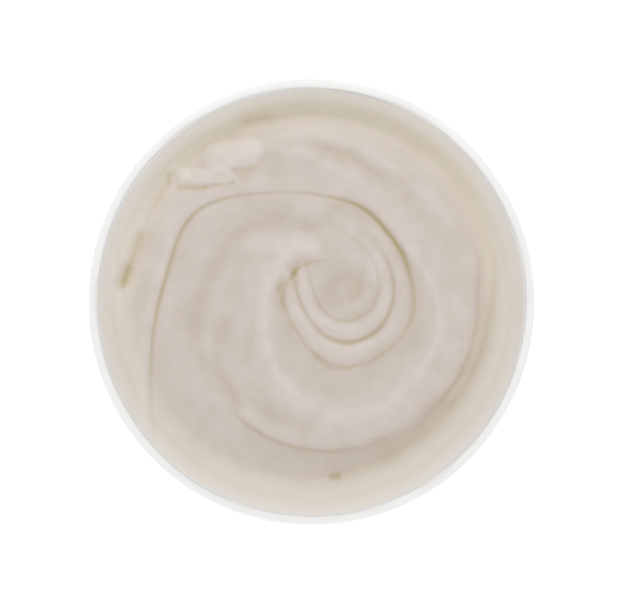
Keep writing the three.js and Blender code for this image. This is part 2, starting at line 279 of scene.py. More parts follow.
@dataclass(frozen=True)
class Mark:
    """A short rounded ridge between two points, or a dent where its height is negative."""

    name: str
    start: Point
    end: Point
    reach: float
    height: float
    power: float

    def heights(self, x: np.ndarray, y: np.ndarray) -> np.ndarray:
        """Works out the mark's relief.

        Args:
            x: The points' first coordinate in millimetres.
            y: The points' second coordinate.

        Returns:
            What the mark adds to the surface at each point, in millimetres.
        """
        dx, dy = self.end[0] - self.start[0], self.end[1] - self.start[1]
        along = clamp01(((x - self.start[0]) * dx + (y - self.start[1]) * dy) / (dx * dx + dy * dy))
        away = np.hypot(x - self.start[0] - along * dx, y - self.start[1] - along * dy)
        return self.height * (1 - clamp01(away / self.reach) ** self.power) ** 2


SWIRL_CENTRE: Point = (8.8, 3.1)
TUB_CENTRE: Point = (0.0, 0.0)

FOLDS = (
    Fold(
        "long lap, from the hook in the middle round one and a quarter turns to the wall",
        StirPath(
            SWIRL_CENTRE, 112, 25,
            (11.9, 15.2, 17.7, 21.0, 24.2, 28.7, 32.4, 32.1, 29.1, 26.8,
             23.0, 20.0, 20.6, 23.7, 26.9, 33.9, 46.0, 49.2, 57.0, 70.0),
            (16, 30),
        ),
        height=(0.7, 1.7, 2.5, 2.6, 2.5, 2.6, 2.8, 2.9, 2.8, 2.6,
                2.5, 2.4, 2.0, 1.4, 0.7, 0.6, 1.0, 1.0, 0.8, 0.8),
        face=(3.0, 3.6, 3.2, 4.2, 7.6, 10.5, 11.1, 13.3, 11.4, 7.5,
              5.0, 2.0, 1.5, 1.3, 1.1, 1.1, 1.4, 1.3, 1.3, 1.3),
        back=(4.2, 6.4, 9, 11, 11, 10.5, 10.5, 10, 9.4, 9.4,
              11.5, 15.7, 17.3, 15.7, 13, 10.5, 9, 6.3, 3.6, 2.6),
        face_power=(0.8, 0.8, 1.4, 1.6, 1.6, 1.2, 0.8, 0.8, 0.8, 0.8),
        back_power=(1.3, 1.3, 1.2, 1.4, 1.6),
        tail=(1.0, 1.3, 1.2, 1.0, 1.5, 2.0, 2.0, 2.0),
        groove=(0.1, 0.2, 0.4, 0.3, 0.1, 0.2, 0.3, 0.2, 0.1, 0.1,
                0.3, 0.6, 0.8, 0.7, 0.2, 0.1, 0.5, 0.6, 0.4, 0.3),
        groove_width=0.8,
    ),
    Fold(
        "outer curl of the nest",
        StirPath(
            SWIRL_CENTRE, 155, 30,
            (16.2, 13.9, 13.3, 14.4, 15.4, 15.2, 14.7, 14.7, 15.4, 17.5, 20.9),
            (8, 40),
        ),
        height=(0.5, 0.8, 0.9, 1.2, 1.5, 1.4, 1.1, 0.9, 0.6, 0.4, 0.2),
        face=(1.2, 1.5, 1.6, 1.8, 2.2),
        back=(1.2, 2.9, 3.3, 4.2, 4.9, 4.2, 4.6, 3.2, 2.4, 2.4, 2.8),
        back_power=(2.4, 2.8, 2.4, 1.6),
        groove=(0.15, 0.2, 0.25, 0.3, 0.2, 0.05),
        groove_width=0.7,
    ),
    Fold(
        "inner curl of the nest",
        StirPath(
            SWIRL_CENTRE, 145, 30,
            (13.1, 10.2, 9.3, 9.4, 9.7, 9.9, 10.2, 10.6, 11.3, 13.1, 16.5, 21.5),
            (8, 40),
        ),
        height=(0.5, 0.8, 0.9, 1.0, 1.1, 1.0, 0.8, 0.7, 0.5, 0.4, 0.3, 0.2),
        face=(1.3, 1.6, 1.8, 2.0),
        back=(1.6, 2.6, 2.9, 3.7, 4.4, 4.1, 3.4, 2.6, 2.1, 2.4, 2.6, 2.6),
        back_power=(2.0, 2.2, 1.8, 1.5),
        groove=(0.15, 0.15, 0.2, 0.1, 0.05),
        groove_width=0.7,
    ),
    Fold(
        "heart of the nest",
        StirPath(SWIRL_CENTRE, 240, 30, (3.7, 3.4, 3.9, 4.7, 5.8, 7.3, 9.4), (40, 40)),
        height=(0.4, 0.7, 0.8, 0.8, 0.6, 0.3),
        face=(1.8, 2.3),
        back=(3.1,),
        face_power=(1.3,),
        back_power=(1.6,),
        tail=(1.5,),
    ),
    Fold(
        "edge of the layer below the lap",
        StirPath(SWIRL_CENTRE, 226, 23, (42.5, 42.5, 40.8, 38.0, 36.8, 35.2), (8, 24)),
        height=(1.2, 1.2, 0.7, 0.3, 0.5, 0.4),
        face=(5.0, 6.0),
        back=(1.3, 1.6),
        back_power=(1.1,),
        face_power=(1.4,),
    ),
    Fold(
        "inner terrace at the right",
        StirPath(SWIRL_CENTRE, -62, 15, (39.0, 37.3, 36.1, 34.7, 34.0, 35.0, 35.9), (20, 24)),
        height=(0.5, 0.7, 0.7),
        face=(6.0,),
        back=(1.6,),
        tail=(1.4,),
    ),
    Fold(
        "outer terrace at the right",
        StirPath(SWIRL_CENTRE, -55, 14, (40.6, 39.6, 38.4, 37.6, 38.0, 38.9, 39.7), (20, 24)),
        height=(0.4, 0.6, 0.5),
        face=(3.0,),
        back=(1.8,),
        tail=(1.4,),
    ),
    Fold(
        "ribbon along the top and right",
        StirPath(SWIRL_CENTRE, 12, 18, (35.1, 33.5, 32.4, 34.0, 37.4, 42.0, 46.1), (24, 16)),
        height=(0.7, 1.0, 1.2, 1.3, 1.3, 1.2, 1.0),
        face=(6.0, 5.2, 4.4, 3.8, 3.4, 3.0, 2.8),
        back=(8.0, 9.0, 9.0, 8.0, 7.0, 6.0, 5.0),
        face_power=(1.3,),
        tail=(1.6,),
    ),
    Fold(
        "inner ribbon at the top",
        StirPath(SWIRL_CENTRE, 66, 15, (26.2, 28.5, 32.5, 39.3, 44.0, 47.1), (18, 16)),
        height=(0.5, 0.9, 1.2, 1.2, 1.0, 0.6),
        face=(3.6, 4.8, 6.0, 6.8, 6.4, 6.4),
        back=(4.6, 5.2, 5.8, 6.0, 5.6, 5.0),
        face_power=(1.3,),
        tail=(1.6,),
    ),
)

TROUGHS = (
    Trough(
        "trough along the wall",
        StirPath(
            TUB_CENTRE, -110, 30,
            (46.6, 46.6, 46.0, 46.8, 48.2, 50.3, 51.0, 50.6, 50.8, 49.0),
            (30, 20),
        ),
        depth=(0.6, 0.8, 0.8, 0.8, 0.8, 1.1, 1.2, 1.2, 0.9, 0.5),
        width=2.9,
    ),
    Trough(
        "trough left of the lap",
        StirPath(SWIRL_CENTRE, 105, 24, (14.9, 24.1, 31.9, 36.6, 41.9, 42.1), (16, 20)),
        depth=(0.3, 0.9, 1.1, 1.0, 0.9, 0.6),
        width=2.8,
    ),
    Trough(
        "second trough left of the lap",
        StirPath(SWIRL_CENTRE, 184, 12, (27.8, 34.0, 38.3, 40.2, 43.0), (18, 8)),
        depth=(0.3, 0.6, 0.7),
        width=1.8,
    ),
    Trough(
        "short trough beside the hook",
        StirPath(SWIRL_CENTRE, 190, 10, (23.6, 26.2, 29.3, 31.8), (12, 12)),
        depth=(0.45,),
        width=1.9,
    ),
)

MARKS = (
    Mark("swelling over the hook", (-15.5, 15.4), (0.6, 15.8), 4.6, 0.45, 2),
    Mark("long dent at the left", (-45.4, 17.4), (-49.6, 5.6), 3.6, -1.3, 1.2),
    Mark("deep end of the dent", (-48.8, 9.0), (-50.2, 4.4), 3.0, -1.1, 1.2),
    Mark("crease down to the dent", (-38.6, 30.4), (-43.6, 22.4), 2.0, -0.3, 1.2),
    Mark("upper lobe of the patch", (-24.8, 38.4), (-16.6, 40.2), 4.5, 0.8, 5),
    Mark("tongue of the patch", (-36.2, 36.0), (-33.2, 33.8), 1.8, 0.6, 3),
    Mark("lower shelf of the patch", (-33.4, 33.7), (-22.8, 33.4), 2.6, 0.6, 4),
    Mark("streak across the patch", (-24.0, 36.1), (-20.0, 33.0), 0.9, 0.4, 2),
    Mark("groove below the patch, left", (-35.0, 30.4), (-28.4, 30.3), 1.2, -0.5, 2),
    Mark("groove below the patch, right", (-28.4, 30.5), (-20.8, 31.8), 0.9, -0.3, 2),
    Mark("notch left of the patch", (-38.0, 34.0), (-37.8, 31.4), 1.2, -0.6, 2),
    Mark("nick beside the patch", (-18.0, 33.2), (-15.8, 34.8), 2.0, -0.25, 2),
    Mark("ridge near the wall", (-27.2, 46.6), (-22.4, 47.4), 2.4, 0.5, 1.4),
    Mark("deep place in the wall trough", (-17.4, 48.2), (-12.0, 49.2), 4.0, -0.7, 1.2),
    Mark("inner hollow under the hook", (-3.8, 9.9), (-4.8, 8.2), 1.7, -0.4, 2),
    Mark("outer hollow under the hook", (-7.6, 5.3), (-8.9, 3.4), 1.8, -0.5, 2),
    Mark("pit near the wall", (5.7, -46.6), (6.8, -46.4), 1.6, -0.8, 2),
)


@dataclass(frozen=True)
class TubSizes:
    """Driving sizes of the moulded tub, in millimetres and degrees."""

    rim_diameter: float = 117.0
    height: float = 50.0
    rim_width: float = 2.4
    rim_drop: float = 4.2
    rim_rounding: float = 0.7
    wall_thickness: float = 1.1
    wall_slope: float = 6.5
    band_drop: float = 9.5
    band_proud: float = 0.5
    base_thickness: float = 1.2
    foot_height: float = 1.5
    foot_width: float = 4.5
    outer_corner: float = 2.4
    inner_corner: float = 3.2
    gate_radius: float = 1.6
    gate_flare: float = 1.25
    gate_drop: float = 0.5

    @property
    def rim_radius(self) -> float:
        """Outer radius of the rim."""
        return self.rim_diameter / 2

    @property
    def stretch(self) -> float:
        """How much a corner's centre moves along a radius because the wall leans."""
        return 1 / math.cos(math.radians(self.wall_slope))

    @property
    def floor_height(self) -> float:
        """Height of the floor's upper face."""
        return self.foot_height + self.base_thickness

    def wall_inside(self, z: float | np.ndarray) -> float | np.ndarray:
        """Returns the radius of the wall's inner face at a height."""
        mouth = self.rim_radius - self.rim_width
        return mouth - (self.height - z) * math.tan(math.radians(self.wall_slope))

    def wall_outside(self, z: float | np.ndarray) -> float | np.ndarray:
        """Returns the radius of the wall's outer face at a height."""
        return self.wall_inside(z) + self.wall_thickness


@dataclass(frozen=True)
class MouldedPolypropylene:
    """White polypropylene, injection moulded.

    It is slightly milky, so light softens inside its thin edges, and its skin has a satin gloss with
    the faint ripple of a cooled moulding.
    """

    colour: str = "#fbfaf8"
    shade: str = "#f5f3f0"
    roughness: float = 0.34
    ior: float = 1.49
    duller: float = 0.06
    glossier: float = 0.04
    ripple_mm: float = 9.0
    ripple_depth_mm: float = 0.12
    ripple_strength: float = 0.25
    grain_mm: float = 0.5
    grain_depth_mm: float = 0.012
    grain_strength: float = 0.2
    scatter: float = 0.5
    scatter_mm: float = 2.4
    scatter_reach: tuple[float, float, float] = (1.0, 0.95, 0.9)

    def material(self) -> bpy.types.Material:
        """Builds the material from nodes.

        Returns:
            The new material.
        """
        made = bpy.data.materials.new("moulded white polypropylene")
        made.use_nodes = True
        tree = made.node_tree
        tree.nodes.clear()
        place = add_node(tree, "ShaderNodeTexCoord").outputs["Object"]
        ripple = add_node(
            tree, "ShaderNodeTexNoise", {"Vector": place, "Scale": 1 / (self.ripple_mm * MM), "Detail": 2.0}
        )
        grain = add_node(
            tree, "ShaderNodeTexNoise", {"Vector": place, "Scale": 1 / (self.grain_mm * MM), "Detail": 1.0}
        )
        tone = add_node(tree, "ShaderNodeMix", {"Factor": ripple.outputs["Fac"]}, data_type="RGBA")
        tone.inputs["A"].default_value = srgb(self.colour)
        tone.inputs["B"].default_value = srgb(self.shade)
        polish = add_node(
            tree,
            "ShaderNodeMapRange",
            {
                "Value": ripple.outputs["Fac"],
                "To Min": self.roughness - self.glossier,
                "To Max": self.roughness + self.duller,
            },
        )
        wide = add_node(
            tree,
            "ShaderNodeBump",
            {
                "Height": ripple.outputs["Fac"],
                "Strength": self.ripple_strength,
                "Distance": self.ripple_depth_mm * MM,
            },
        )
        fine = add_node(
            tree,
            "ShaderNodeBump",
            {
                "Height": grain.outputs["Fac"],
                "Normal": wide.outputs["Normal"],
                "Strength": self.grain_strength,
                "Distance": self.grain_depth_mm * MM,
            },
        )
        shader = add_node(
            tree,
            "ShaderNodeBsdfPrincipled",
            {
                "Base Color": tone.outputs["Result"],
                "Roughness": polish.outputs["Result"],
                "Normal": fine.outputs["Normal"],
                "IOR": self.ior,
                "Subsurface Weight": self.scatter,
                "Subsurface Scale": self.scatter_mm * MM,
                "Subsurface Radius": self.scatter_reach,
            },
        )
        add_node(tree, "ShaderNodeOutputMaterial", {"Surface": shader.outputs["BSDF"]})
        return made


@dataclass(frozen=True)
class GarlicPaste:
    """Garlic beaten with oil into a smooth, thick paste.

    Light goes a few millimetres into it, which softens the folds. Creases, valleys, dents and the trough by
    the wall
    are painted darker and yellower: painted shade, with the oil's yellow in it. Ridges and raised marks are
    painted lighter and pinker, a painted highlight, with blotches at random. Towards the wall it is paler:
    partly thin paste over white plastic, partly painted light that stands in for light coming through the
    wall.
    """

    colour: str = "#d1c6bb"
    # painted highlight: the lighter, pinker colour for ridges and raised marks
    crest: str = "#e6deda"
    # painted shade: the darker, yellower colour for creases, valleys, dents and the wall trough, with the
    # oil's yellow in it
    hollow: str = "#c0b27a"
    # paler colour towards the wall: partly thin paste over white plastic, partly painted light that stands in
    # for light through the wall
    film: str = "#f6f0ea"
    roughness: float = 0.46
    ior: float = 1.42
    duller: float = 0.1
    glossier: float = 0.07
    specular: float = 0.35
    clot_mm: float = 7.0
    clot_shares: tuple[float, float] = (-0.35, 0.6)
    pulp_mm: float = 0.9
    pulp_depth_mm: float = 0.03
    pulp_strength: float = 0.3
    scatter: float = 0.7
    scatter_mm: float = 1.3
    scatter_reach: tuple[float, float, float] = (1.4, 1.2, 0.95)

    def material(self, name: str) -> bpy.types.Material:
        """Builds the material from nodes that read the piece's own attributes.

        Args:
            name: The material's name.

        Returns:
            The new material.
        """
        made = bpy.data.materials.new(name)
        made.use_nodes = True
        tree = made.node_tree
        tree.nodes.clear()
        place = add_node(tree, "ShaderNodeTexCoord").outputs["Object"]
        clots = add_node(
            tree, "ShaderNodeTexNoise", {"Vector": place, "Scale": 1 / (self.clot_mm * MM), "Detail": 3.0}
        )
        pulp = add_node(
            tree, "ShaderNodeTexNoise", {"Vector": place, "Scale": 1 / (self.pulp_mm * MM), "Detail": 2.0}
        )
        hollow, film, crest = (
            add_node(tree, "ShaderNodeAttribute", attribute_name=label).outputs["Fac"]
            for label in ("hollow", "film", "crest")
        )
        least, most = self.clot_shares
        blotches = add_node(
            tree, "ShaderNodeMapRange", {"Value": clots.outputs["Fac"], "To Min": least, "To Max": most}
        ).outputs["Result"]
        # painted highlight on ridges and raised marks, with blotches at random
        painted_highlight_and_blotches = add_node(
            tree, "ShaderNodeMath", {0: crest, 1: blotches}, operation="ADD", use_clamp=True
        ).outputs[0]
        uneven = add_node(tree, "ShaderNodeMix", {"Factor": painted_highlight_and_blotches}, data_type="RGBA")
        uneven.inputs["A"].default_value = srgb(self.colour)
        uneven.inputs["B"].default_value = srgb(self.crest)
        # paler towards the wall: partly thin paste over white plastic, partly painted light for light through
        # the wall
        white_backed_and_painted_light = add_node(
            tree, "ShaderNodeMix", {"Factor": film, "A": uneven.outputs["Result"]}, data_type="RGBA"
        )
        white_backed_and_painted_light.inputs["B"].default_value = srgb(self.film)
        # painted shade: the hollow attribute darkens and yellows creases, valleys and dents, with the oil's
        # yellow
        shaded = add_node(
            tree, "ShaderNodeMix", {"Factor": hollow, "A": white_backed_and_painted_light.outputs["Result"]}, data_type="RGBA"
        )
        shaded.inputs["B"].default_value = srgb(self.hollow)
        moist = add_node(
            tree,
            "ShaderNodeMapRange",
            {
                "Value": clots.outputs["Fac"],
                "To Min": self.roughness - self.glossier,
                "To Max": self.roughness + self.duller,
            },
        )
        fine = add_node(
            tree,
            "ShaderNodeBump",
            {
                "Height": pulp.outputs["Fac"],
                "Strength": self.pulp_strength,
                "Distance": self.pulp_depth_mm * MM,
            },
        )
        shader = add_node(
            tree,
            "ShaderNodeBsdfPrincipled",
            {
                "Base Color": shaded.outputs["Result"],
                "Roughness": moist.outputs["Result"],
                "Normal": fine.outputs["Normal"],
                "IOR": self.ior,
                "Specular IOR Level": self.specular,
                "Subsurface Weight": self.scatter,
                "Subsurface Scale": self.scatter_mm * MM,
                "Subsurface Radius": self.scatter_reach,
            },
        )
        add_node(tree, "ShaderNodeOutputMaterial", {"Surface": shader.outputs["BSDF"]})
        return made


def corner(
    centre_r: float, centre_z: float, radius: float, first: float, last: float, steps: int
) -> list[Point]:
    """Rounds a corner of an outline.

    Args:
        centre_r: The arc's centre, as a distance from the axis.
        centre_z: The centre's height.
        radius: The arc's radius.
        first: Angle of its first point in degrees.
        last: Angle of its last point.
        steps: How many chords it has.

    Returns:
        The points, as pairs of radius and height.
    """
    angles = np.radians(np.linspace(first, last, steps + 1))
    return [(centre_r + radius * math.cos(a), centre_z + radius * math.sin(a)) for a in angles]


def plain_mesh(piece: bpy.types.Object, name: str) -> bpy.types.Object:
    """Turns a piece with modifiers into a plain mesh object of the same look.

    Args:
        piece: The object with its modifiers.
        name: The new object's name.

    Returns:
        The new object, already in the scene. The old one is gone.
    """
    graph = bpy.context.evaluated_depsgraph_get()
    graph.update()
    mesh = bpy.data.meshes.new_from_object(piece.evaluated_get(graph), depsgraph=graph)
    old = piece.data
    piece.modifiers.clear()
    bpy.data.objects.remove(piece)
    if old.users == 0:
        bpy.data.meshes.remove(old)
    mesh.name = name
    made = bpy.data.objects.new(name, mesh)
    bpy.context.scene.collection.objects.link(made)
    return made


def new_object(name: str, vertices: np.ndarray, edges: list, faces: list) -> bpy.types.Object:
    """Makes a mesh object at the origin.

    Args:
        name: Name of the object and its mesh.
        vertices: Positions in millimetres.
        edges: Pairs of vertex numbers, or an empty list.
        faces: Loops of vertex numbers, or an empty list.

    Returns:
        The object, already in the scene.
    """
    mesh = bpy.data.meshes.new(name)
    mesh.from_pydata((np.asarray(vertices, float) * MM).tolist(), edges, faces)
    mesh.update()
    made = bpy.data.objects.new(name, mesh)
    bpy.context.scene.collection.objects.link(made)
    return made


def new_tree(name: str, kinds: dict[str, str]) -> tuple[bpy.types.NodeTree, dict[str, str]]:
    """Starts a geometry tree that takes a mesh and named values, and gives a mesh.

    Args:
        name: The tree's name.
        kinds: The kind of each value, such as Float, by the name of its input.

    Returns:
        The tree, and the identifiers of its inputs by name.
    """
    tree = bpy.data.node_groups.new(name, "GeometryNodeTree")
    tree.interface.new_socket("Geometry", in_out="INPUT", socket_type="NodeSocketGeometry")
    tree.interface.new_socket("Geometry", in_out="OUTPUT", socket_type="NodeSocketGeometry")
    names = {}
    for label, kind in kinds.items():
        socket = tree.interface.new_socket(label, in_out="INPUT", socket_type="NodeSocket" + kind)
        names[label] = socket.identifier
    return tree, names


def end_tree(tree: bpy.types.NodeTree, mesh: bpy.types.NodeSocket, material: bpy.types.NodeSocket) -> None:
    """Ends a geometry tree: its instances are made real and dressed in one material.

    Args:
        tree: The geometry tree.
        mesh: The output that holds the shape.
        material: The output that holds the material.
    """
    real = add_node(tree, "GeometryNodeRealizeInstances", {"Geometry": mesh}).outputs[0]
    dressed = add_node(tree, "GeometryNodeSetMaterial", {"Geometry": real, "Material": material}).outputs[0]
    add_node(tree, "NodeGroupOutput", {0: dressed})


def run_tree(
    piece: bpy.types.Object,
    tree: bpy.types.NodeTree,
    names: dict[str, str],
    values: dict[str, object],
    name: str,
) -> bpy.types.Object:
    """Runs a geometry tree on a piece and keeps the result as a plain mesh.

    Args:
        piece: The object whose mesh goes in.
        tree: The geometry tree.
        names: The identifiers of the tree's inputs, by name.
        values: What each input holds, by name.
        name: Name of the finished piece.

    Returns:
        The finished object.
    """
    modifier = piece.modifiers.new(tree.name, "NODES")
    modifier.node_group = tree
    for label, value in values.items():
        modifier[names[label]] = value
    return plain_mesh(piece, name)


@dataclass(frozen=True)
class Turn:
    """How an outline is turned round the tub's axis, in millimetres and degrees.

    Attributes:
        segments: How many steps the turn has.
        start: Angle at which it starts.
        sweep: How far it goes.
        anchor: Point of the section to which it shrinks at the turn's two ends.
        taper: How much it shrinks there, from zero to one.
        uneven_above: Height above which the section wavers up and down.
        uneven_height: How far it wavers.
        uneven_count: Waves per radian.
        seed: Choice of waves.
    """

    segments: int = 288
    start: float = 0.0
    sweep: float = 360.0
    anchor: Point = (0.0, 0.0)
    taper: float = 0.0
    uneven_above: float = 0.0
    uneven_height: float = 0.0
    uneven_count: float = 8.0
    seed: float = 0.0


def turning_tree() -> tuple[bpy.types.NodeTree, dict[str, str]]:
    """Builds the tree that turns an outline of points round the axis.

    Returns:
        The tree, and the identifiers of its inputs by name.
    """
    kinds = {
        "Points": "Int",
        "Segments": "Int",
        "Start": "Float",
        "Sweep": "Float",
        "Anchor": "Vector",
        "Taper": "Float",
        "Uneven Above": "Float",
        "Uneven Height": "Float",
        "Uneven Count": "Float",
        "Seed": "Float",
        "Material": "Material",
    }
    tree, names = new_tree("turned outline", kinds)
    given = add_node(tree, "NodeGroupInput").outputs
    columns = add_node(tree, "ShaderNodeMath", {0: given["Segments"], 1: 1.0}, operation="ADD").outputs[0]
    sheet = add_node(
        tree, "GeometryNodeMeshGrid", {"Vertices X": given["Points"], "Vertices Y": columns}
    ).outputs["Mesh"]
    index = add_node(tree, "GeometryNodeInputIndex").outputs[0]
    ratio = add_node(tree, "ShaderNodeMath", {0: index, 1: columns}, operation="DIVIDE").outputs[0]
    row = add_node(tree, "ShaderNodeMath", {0: ratio}, operation="FLOOR").outputs[0]
    column = add_node(tree, "ShaderNodeMath", {0: index, 1: columns}, operation="MODULO").outputs[0]
    here = add_node(tree, "GeometryNodeInputPosition").outputs[0]
    section = add_node(
        tree,
        "GeometryNodeSampleIndex",
        {"Geometry": given["Geometry"], "Value": here, "Index": row},
        data_type="FLOAT_VECTOR",
    ).outputs["Value"]
    part = add_node(tree, "ShaderNodeMath", {0: column, 1: given["Segments"]}, operation="DIVIDE").outputs[0]
    half_turn = add_node(tree, "ShaderNodeMath", {0: part, 1: math.pi}, operation="MULTIPLY").outputs[0]
    swelling = add_node(tree, "ShaderNodeMath", {0: half_turn}, operation="SINE").outputs[0]
    rounded = add_node(tree, "ShaderNodeMath", {0: swelling, 1: 0.0}, operation="MAXIMUM").outputs[0]
    fuller = add_node(tree, "ShaderNodeMath", {0: rounded}, operation="SQRT").outputs[0]
    size = add_node(
        tree, "ShaderNodeMix", {"Factor": given["Taper"], "A": 1.0, "B": fuller}, data_type="FLOAT"
    ).outputs["Result"]
    from_anchor = add_node(
        tree, "ShaderNodeVectorMath", {0: section, 1: given["Anchor"]}, operation="SUBTRACT"
    ).outputs[0]
    shrunk = add_node(
        tree, "ShaderNodeVectorMath", {0: from_anchor, "Scale": size}, operation="SCALE"
    ).outputs[0]
    placed = add_node(
        tree, "ShaderNodeVectorMath", {0: shrunk, 1: given["Anchor"]}, operation="ADD"
    ).outputs[0]
    split = add_node(tree, "ShaderNodeSeparateXYZ", {0: placed}).outputs
    angle = add_node(
        tree, "ShaderNodeMath", {0: part, 1: given["Sweep"], 2: given["Start"]}, operation="MULTIPLY_ADD"
    ).outputs[0]
    cosine, sine = (
        add_node(tree, "ShaderNodeMath", {0: angle}, operation=kind).outputs[0] for kind in ("COSINE", "SINE")
    )
    heading = add_node(tree, "ShaderNodeCombineXYZ", {"X": cosine, "Y": sine}).outputs[0]
    waves = add_node(
        tree,
        "ShaderNodeTexNoise",
        {"Vector": heading, "W": given["Seed"], "Scale": given["Uneven Count"], "Detail": 3.0},
        noise_dimensions="4D",
    ).outputs["Fac"]
    centred = add_node(tree, "ShaderNodeMath", {0: waves, 1: 0.5}, operation="SUBTRACT").outputs[0]
    above = add_node(
        tree, "ShaderNodeMath", {0: split["Z"], 1: given["Uneven Above"]}, operation="GREATER_THAN"
    ).outputs[0]
    allowed = add_node(
        tree, "ShaderNodeMath", {0: above, 1: given["Uneven Height"]}, operation="MULTIPLY"
    ).outputs[0]
    height = add_node(
        tree, "ShaderNodeMath", {0: centred, 1: allowed, 2: split["Z"]}, operation="MULTIPLY_ADD"
    ).outputs[0]
    x, y = (
        add_node(tree, "ShaderNodeMath", {0: split["X"], 1: way}, operation="MULTIPLY").outputs[0]
        for way in (cosine, sine)
    )
    turned = add_node(tree, "ShaderNodeCombineXYZ", {"X": x, "Y": y, "Z": height}).outputs[0]
    moved = add_node(tree, "GeometryNodeSetPosition", {"Geometry": sheet, "Position": turned}).outputs[0]
    closed = add_node(
        tree, "GeometryNodeMergeByDistance", {"Geometry": moved, "Distance": MERGE_WITHIN * MM}
    ).outputs[0]
    end_tree(tree, closed, given["Material"])
    return tree, names


def turned_piece(
    name: str, outline: list[Point], turn: Turn, material: bpy.types.Material
) -> bpy.types.Object:
    """Turns an outline round the tub's axis into a closed piece.

    Args:
        name: The piece's name.
        outline: Pairs of radius and height in millimetres.
        turn: How it is turned.
        material: What it is made of.

    Returns:
        The piece, with its faces outwards and its edges sharp where they bend.
    """
    section = np.array([(r, 0.0, z) for r, z in outline])
    profile = new_object(name + " outline", section, [(i, i + 1) for i in range(len(outline) - 1)], [])
    tree, names = turning_tree()
    values = {
        "Points": len(outline),
        "Segments": turn.segments,
        "Start": math.radians(turn.start),
        "Sweep": math.radians(turn.sweep),
        "Anchor": (turn.anchor[0] * MM, 0.0, turn.anchor[1] * MM),
        "Taper": turn.taper,
        "Uneven Above": turn.uneven_above * MM,
        "Uneven Height": turn.uneven_height * MM,
        "Uneven Count": turn.uneven_count,
        "Seed": turn.seed,
        "Material": material,
    }
    piece = run_tree(profile, tree, names, values, name)
    point_outwards(piece)
    smooth_by_angle(piece, SHARP_EDGE)
    return piece


@dataclass
class Tub:
    """The white cup: one outline turned round the axis."""

    sizes: TubSizes = field(default_factory=TubSizes)
    finish: MouldedPolypropylene = field(default_factory=MouldedPolypropylene)
    corner_steps: int = 8
    segments: int = 288

    def outline(self) -> list[Point]:
        """Draws the cup's section.

        Returns:
            Its points, from the middle of the underside out, up, over the rim and back in.
        """
        s = self.sizes
        steps = self.corner_steps
        foot_outer = s.wall_outside(s.outer_corner) - s.outer_corner * s.stretch
        foot_inner = foot_outer - s.foot_width
        band = s.height - s.band_drop
        rim = s.height - s.rim_drop
        lip = s.height - s.rim_rounding
        lip_centre = s.wall_inside(lip) + s.rim_rounding * s.stretch
        inner = s.floor_height + s.inner_corner
        inner_centre = s.wall_inside(inner) - s.inner_corner * s.stretch
        half = s.rim_rounding / 2
        points = [
            (0.0, s.foot_height - s.gate_drop),
            (s.gate_radius, s.foot_height - s.gate_drop),
            (s.gate_radius * s.gate_flare, s.foot_height),
            (foot_inner - s.foot_height, s.foot_height),
            (foot_inner, 0.0),
        ]
        points += corner(foot_outer, s.outer_corner, s.outer_corner, -90, -s.wall_slope, steps)
        points += [
            (s.wall_outside(band - s.band_proud), band - s.band_proud),
            (s.wall_outside(band) + s.band_proud, band),
            (s.wall_outside(rim) + s.band_proud, rim),
        ]
        points += corner(s.rim_radius - half, rim + half, half, -90, 0, steps)
        points += corner(s.rim_radius - s.rim_rounding, lip, s.rim_rounding, 0, 90, steps)
        points += corner(lip_centre, lip, s.rim_rounding, 90, 180 - s.wall_slope, steps)
        points += corner(inner_centre, inner, s.inner_corner, -s.wall_slope, -90, steps)
        points.append((0.0, s.floor_height))
        return points

    def build(self) -> bpy.types.Object:
        """Returns:
            The tub.
        """
        turn = Turn(segments=self.segments)
        tub = turned_piece("tub_cup", self.outline(), turn, self.finish.material())
        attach(tub, "root")
        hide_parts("tub")
        return tub


def point_outwards(piece: bpy.types.Object) -> None:
    """Turns a closed piece's faces the right way, judged by the sign of its volume.

    Args:
        piece: The piece, which is changed in place.
    """
    mesh = piece.data
    mesh.calc_loop_triangles()
    corners = np.empty(len(mesh.loop_triangles) * 3, np.int32)
    mesh.loop_triangles.foreach_get("vertices", corners)
    places = np.empty(len(mesh.vertices) * 3)
    mesh.vertices.foreach_get("co", places)
    a, b, c = places.reshape(-1, 3)[corners.reshape(-1, 3)].transpose(1, 0, 2)
    if np.einsum("ij,ij->", a, np.cross(b, c)) < 0:
        mesh.flip_normals()


def smooth_by_angle(piece: bpy.types.Object, degrees: float) -> None:
    """Shades a piece smooth, with its edges sharp where they bend by more than an angle."""
    piece.data.shade_smooth()
    piece.data.set_sharp_from_angle(angle=math.radians(degrees))


